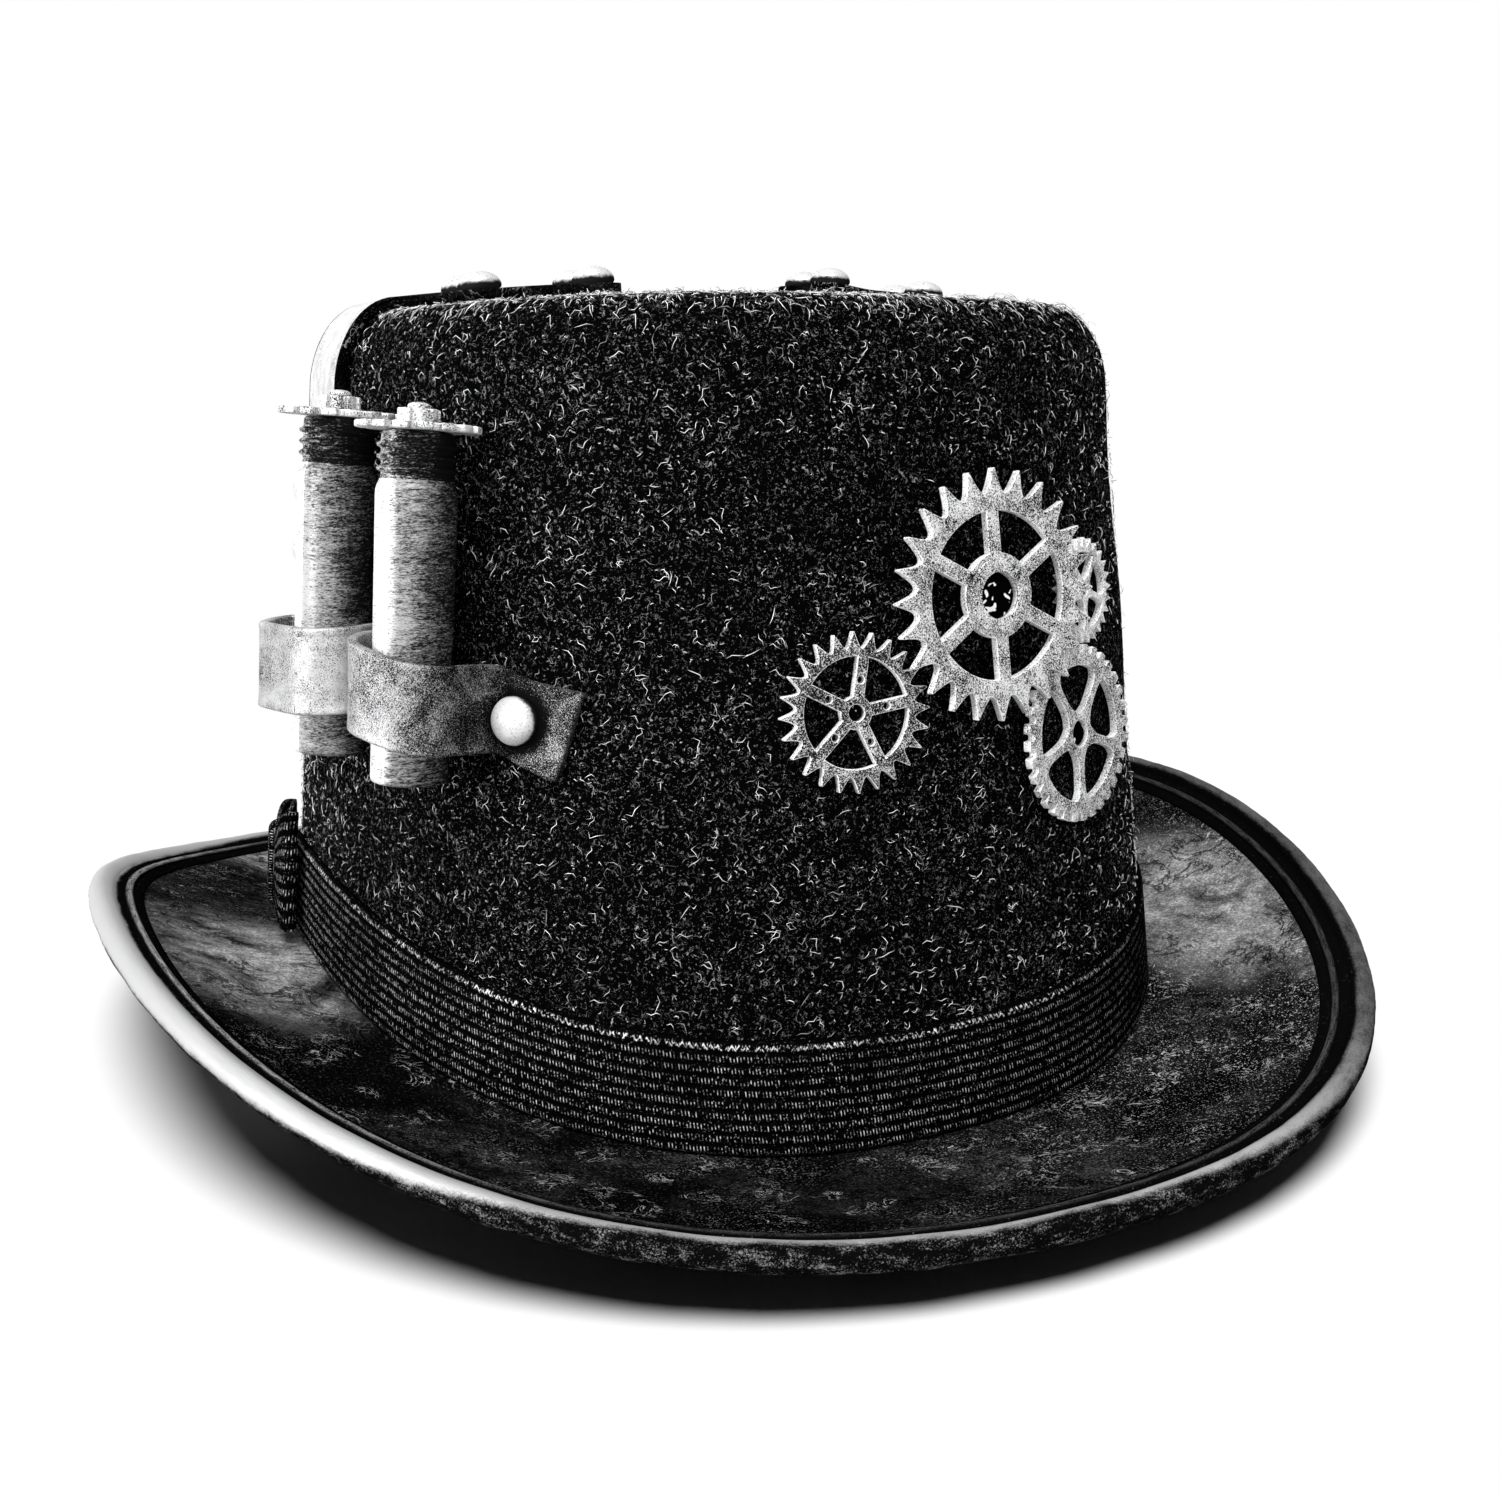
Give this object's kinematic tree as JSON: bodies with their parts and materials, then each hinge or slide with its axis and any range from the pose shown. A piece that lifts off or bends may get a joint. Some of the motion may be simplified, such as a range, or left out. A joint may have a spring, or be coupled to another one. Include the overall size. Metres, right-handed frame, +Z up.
{
  "type": "steampunk top hat",
  "caption": "Felt top hat with a saddle-curled bound brim, elastic band and bow, flat gears on the wall, studded straps over the tip and capsules that lift out of a looped strap.",
  "frame": {"origin": "on the table under the middle of the hat, where the crown's foot stands at the front and back", "axes": "+Z up through the crown's tip, -Y to the wearer's front, -X to the wearer's right side where the capsules and bow are"},
  "size_m": [0.268, 0.3068, 0.1617],
  "materials": {
    "crown_felt": "fuzzy black wool felt",
    "brim_leather": "black, dry-brushed with worn grey",
    "silvered_leather": "silver paint over black, rubbed",
    "wire": "plain",
    "elastic": "ribbed woven elastic",
    "lining": "plain woven tape",
    "canister_shell": "silver paint, brushed round",
    "canister_trim": "speckled antique silver",
    "stud_metal": "polished dome, worn silver",
    "gear_metal": "speckled antique silver",
    "glue": "clear set glue"
  },
  "bodies": {
    "hat": {"crown_shell": "crown_felt", "brim": "brim_leather", "brim_binding": "silvered_leather", "brim_wire": "wire", "hatband": "elastic", "hatband_bow": "elastic", "bow_knot": "elastic", "sweatband": "lining", "canister_strap": "silvered_leather", "canister_strap_rivets": "stud_metal", "tip_strap_left": "silvered_leather", "tip_strap_left_studs": "stud_metal", "tip_strap_right": "silvered_leather", "tip_strap_right_studs": "stud_metal", "gear_large": "gear_metal", "gear_medium": "gear_metal", "gear_lower": "gear_metal", "gear_upper": "gear_metal", "gear_glue": "glue"},
    "canister_front": {"canister_front_body": "canister_shell", "canister_front_cog": "canister_trim", "canister_front_finial": "canister_trim"},
    "canister_rear": {"canister_rear_body": "canister_shell", "canister_rear_cog": "canister_trim", "canister_rear_finial": "canister_trim"}
  },
  "joints": [
    {"name": "canister_front_slide", "type": "slide", "parent": "hat", "child": "canister_front", "axis": [0.092, 0.0314, 0.9953], "range_m": [0, 0.024]},
    {"name": "canister_rear_slide", "type": "slide", "parent": "hat", "child": "canister_rear", "axis": [0.0967, 0.0094, 0.9953], "range_m": [0, 0.024]}
  ]
}
